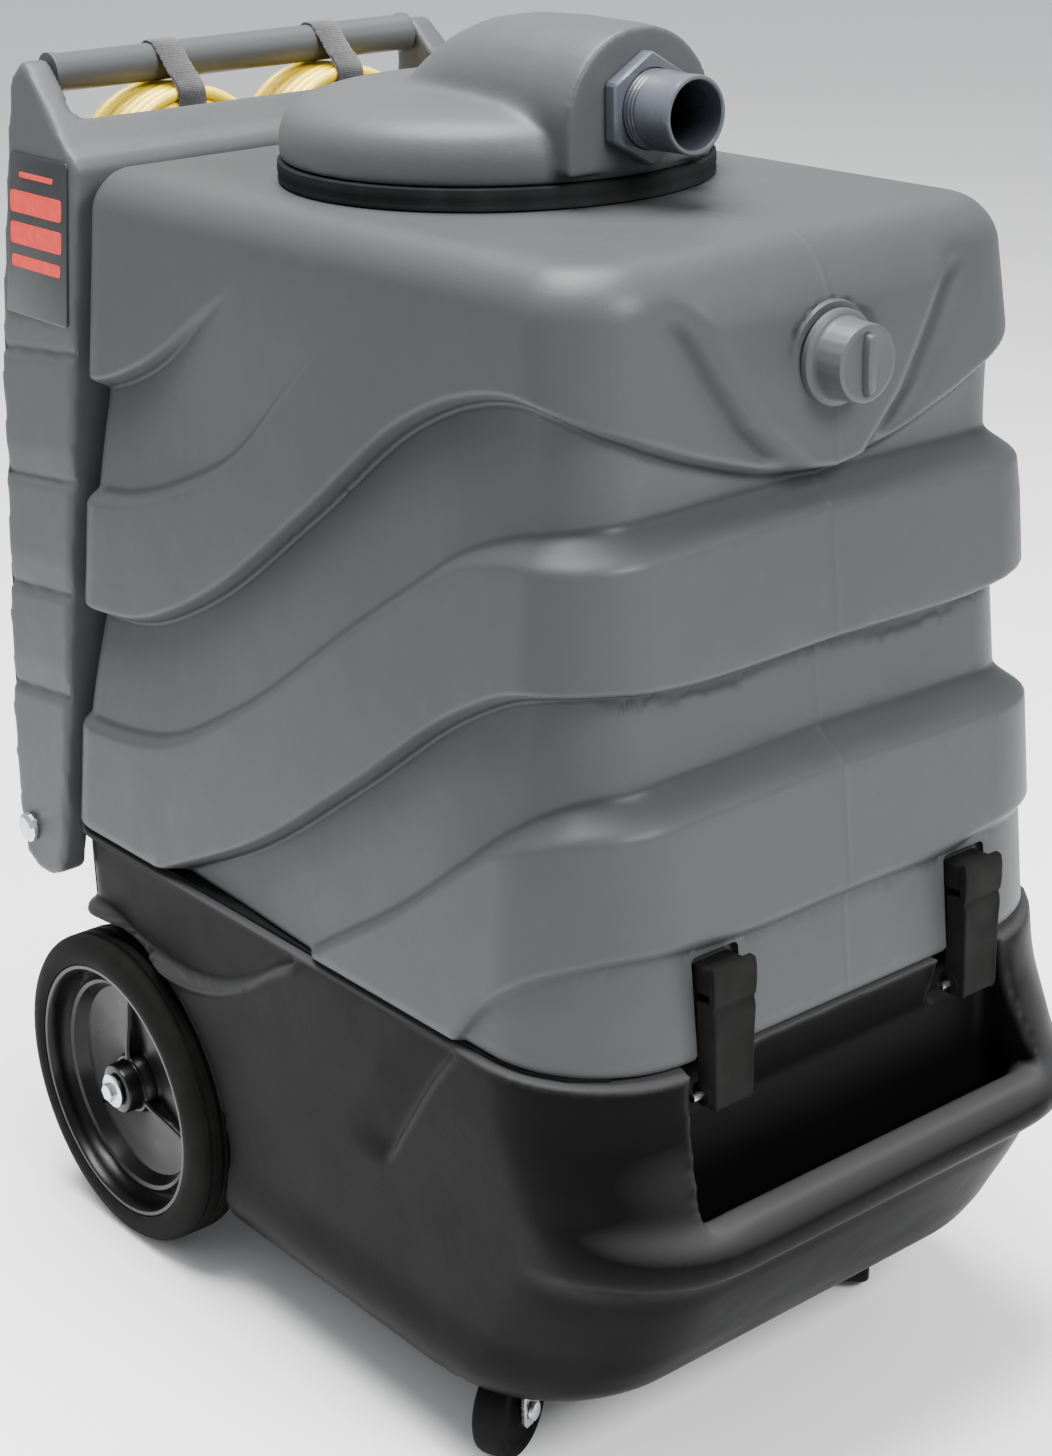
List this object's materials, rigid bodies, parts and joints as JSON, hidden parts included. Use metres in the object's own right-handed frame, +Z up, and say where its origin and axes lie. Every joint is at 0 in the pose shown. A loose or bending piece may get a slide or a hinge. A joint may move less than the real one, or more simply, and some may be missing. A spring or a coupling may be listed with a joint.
{
  "type": "carpet extractor",
  "caption": "Upright wheeled carpet extractor: moulded tank that tilts on a moulded base, round lid with hose spigot, rear handle.",
  "frame": {"origin": "centre of the bounding box on the floor, measured without the cords", "axes": "+Z up, -Y the front with the latches and lift bar, +X to the right seen from the front"},
  "size_m": [0.513, 0.759, 0.9527],
  "materials": {
    "black_polyethylene": "satin moulded grain",
    "grey_polyethylene": "satin moulded grain",
    "dark_rubber": "matte",
    "gloss_black_nylon": "glossy",
    "latch_black": "satin",
    "zinc_plate": "bright zinc",
    "bright_steel": "brushed",
    "motor_housing": "cast",
    "brass": "turned brass",
    "grey_pvc": "glossy",
    "white_plastic": "satin",
    "hook_and_loop": "woven",
    "yellow_cord_jacket": "smooth jacket",
    "badge_panel": "satin"
  },
  "bodies": {
    "base": {"axle_cap_left": "zinc_plate", "axle_cap_right": "zinc_plate", "base_shell": "black_polyethylene", "caster_plate_left": "zinc_plate", "caster_plate_right": "zinc_plate", "exhaust_grille": "black_polyethylene", "latch_pin_left": "zinc_plate", "latch_pin_right": "zinc_plate", "motor_plate": "bright_steel", "rear_axle": "bright_steel", "solution_coupler": "brass", "solution_pump": "motor_housing", "tank_seal": "dark_rubber", "tilt_bolt_left": "zinc_plate", "tilt_bolt_right": "zinc_plate", "vacuum_motor_left": "motor_housing", "vacuum_motor_right": "motor_housing"},
    "wheel_left": {"tyre_left": "dark_rubber", "rim_left": "gloss_black_nylon"},
    "caster_swivel_left": {"caster_fork_left": "bright_steel", "caster_axle_left": "zinc_plate"},
    "caster_roller_left": {"caster_wheel_left": "dark_rubber"},
    "latch_left": {"latch_lever_left": "latch_black"},
    "wheel_right": {"tyre_right": "dark_rubber", "rim_right": "gloss_black_nylon"},
    "caster_swivel_right": {"caster_fork_right": "bright_steel", "caster_axle_right": "zinc_plate"},
    "caster_roller_right": {"caster_wheel_right": "dark_rubber"},
    "latch_right": {"latch_lever_right": "latch_black"},
    "float": {"float_ball": "white_plastic"},
    "lid_ring": {"lid_gasket": "dark_rubber"},
    "lid": {"lid_shell": "grey_polyethylene", "hose_spigot": "grey_pvc", "spigot_nut": "grey_pvc"},
    "clean_out": {"clean_out_plug": "grey_pvc"},
    "switch_vacuum_one": {"rocker_vacuum_one": "black_polyethylene"},
    "switch_vacuum_two": {"rocker_vacuum_two": "black_polyethylene"},
    "switch_pump": {"rocker_pump": "black_polyethylene"},
    "tank": {"tank_shell": "grey_polyethylene", "back_column": "grey_polyethylene", "handle_bar": "grey_polyethylene", "label_plate": "badge_panel", "standpipe": "grey_pvc", "float_cage": "white_plastic", "switch_panel": "black_polyethylene", "cord_coil_left": "yellow_cord_jacket", "cord_coil_right": "yellow_cord_jacket", "cord_gland_left": "latch_black", "cord_gland_right": "latch_black", "cord_lead_left": "yellow_cord_jacket", "cord_lead_right": "yellow_cord_jacket", "cord_strap_left": "hook_and_loop", "cord_strap_right": "hook_and_loop", "cord_tail_left": "yellow_cord_jacket", "cord_tail_right": "yellow_cord_jacket", "latch_keeper_left": "latch_black", "latch_keeper_right": "latch_black", "plug_left": "latch_black", "plug_right": "latch_black"}
  },
  "joints": [
    {"name": "tank_tilt", "type": "hinge", "parent": "base", "child": "tank", "pos_m": [0, 0.3375, 0.317], "axis": [-1, 0, 0], "range_deg": [0, 78]},
    {"name": "wheel_left_roll", "type": "hinge", "parent": "base", "child": "wheel_left", "pos_m": [-0.2285, 0.2275, 0.127], "axis": [1, 0, 0], "continuous": true},
    {"name": "caster_left_swivel", "type": "hinge", "parent": "base", "child": "caster_swivel_left", "pos_m": [-0.166, -0.1845, 0.09], "axis": [0, 0, 1], "continuous": true},
    {"name": "caster_left_roll", "type": "hinge", "parent": "caster_swivel_left", "child": "caster_roller_left", "pos_m": [-0.19341, -0.1967, 0.0365], "axis": [0.4067, -0.9135, 0], "continuous": true},
    {"name": "latch_left_open", "type": "hinge", "parent": "base", "child": "latch_left", "pos_m": [-0.116, -0.3275, 0.316], "axis": [1, 0, 0], "range_deg": [0, 100]},
    {"name": "wheel_right_roll", "type": "hinge", "parent": "base", "child": "wheel_right", "pos_m": [0.2285, 0.2275, 0.127], "axis": [1, 0, 0], "continuous": true},
    {"name": "caster_right_swivel", "type": "hinge", "parent": "base", "child": "caster_swivel_right", "pos_m": [0.166, -0.1845, 0.09], "axis": [0, 0, 1], "continuous": true},
    {"name": "caster_right_roll", "type": "hinge", "parent": "caster_swivel_right", "child": "caster_roller_right", "pos_m": [0.14371, -0.20457, 0.0365], "axis": [0.6691, -0.7431, 0], "continuous": true},
    {"name": "latch_right_open", "type": "hinge", "parent": "base", "child": "latch_right", "pos_m": [0.116, -0.3275, 0.316], "axis": [1, 0, 0], "range_deg": [0, 100]},
    {"name": "float_rise", "type": "slide", "parent": "tank", "child": "float", "axis": [0, 0, 1], "range_m": [0, 0.018]},
    {"name": "lid_lift", "type": "slide", "parent": "tank", "child": "lid_ring", "axis": [0, 0, 1], "range_m": [0, 0.12]},
    {"name": "lid_turn", "type": "hinge", "parent": "lid_ring", "child": "lid", "pos_m": [0, 0.0245, 0.87], "axis": [0, 0, 1], "continuous": true},
    {"name": "clean_out_pull", "type": "slide", "parent": "tank", "child": "clean_out", "axis": [0, -1, 0], "range_m": [0, 0.06]},
    {"name": "switch_vacuum_one_rock", "type": "hinge", "parent": "tank", "child": "switch_vacuum_one", "pos_m": [-0.045, 0.366, 0.505], "axis": [1, 0, 0], "range_deg": [-7, 7]},
    {"name": "switch_vacuum_two_rock", "type": "hinge", "parent": "tank", "child": "switch_vacuum_two", "pos_m": [0, 0.366, 0.505], "axis": [1, 0, 0], "range_deg": [-7, 7]},
    {"name": "switch_pump_rock", "type": "hinge", "parent": "tank", "child": "switch_pump", "pos_m": [0.045, 0.366, 0.505], "axis": [1, 0, 0], "range_deg": [-7, 7]}
  ]
}
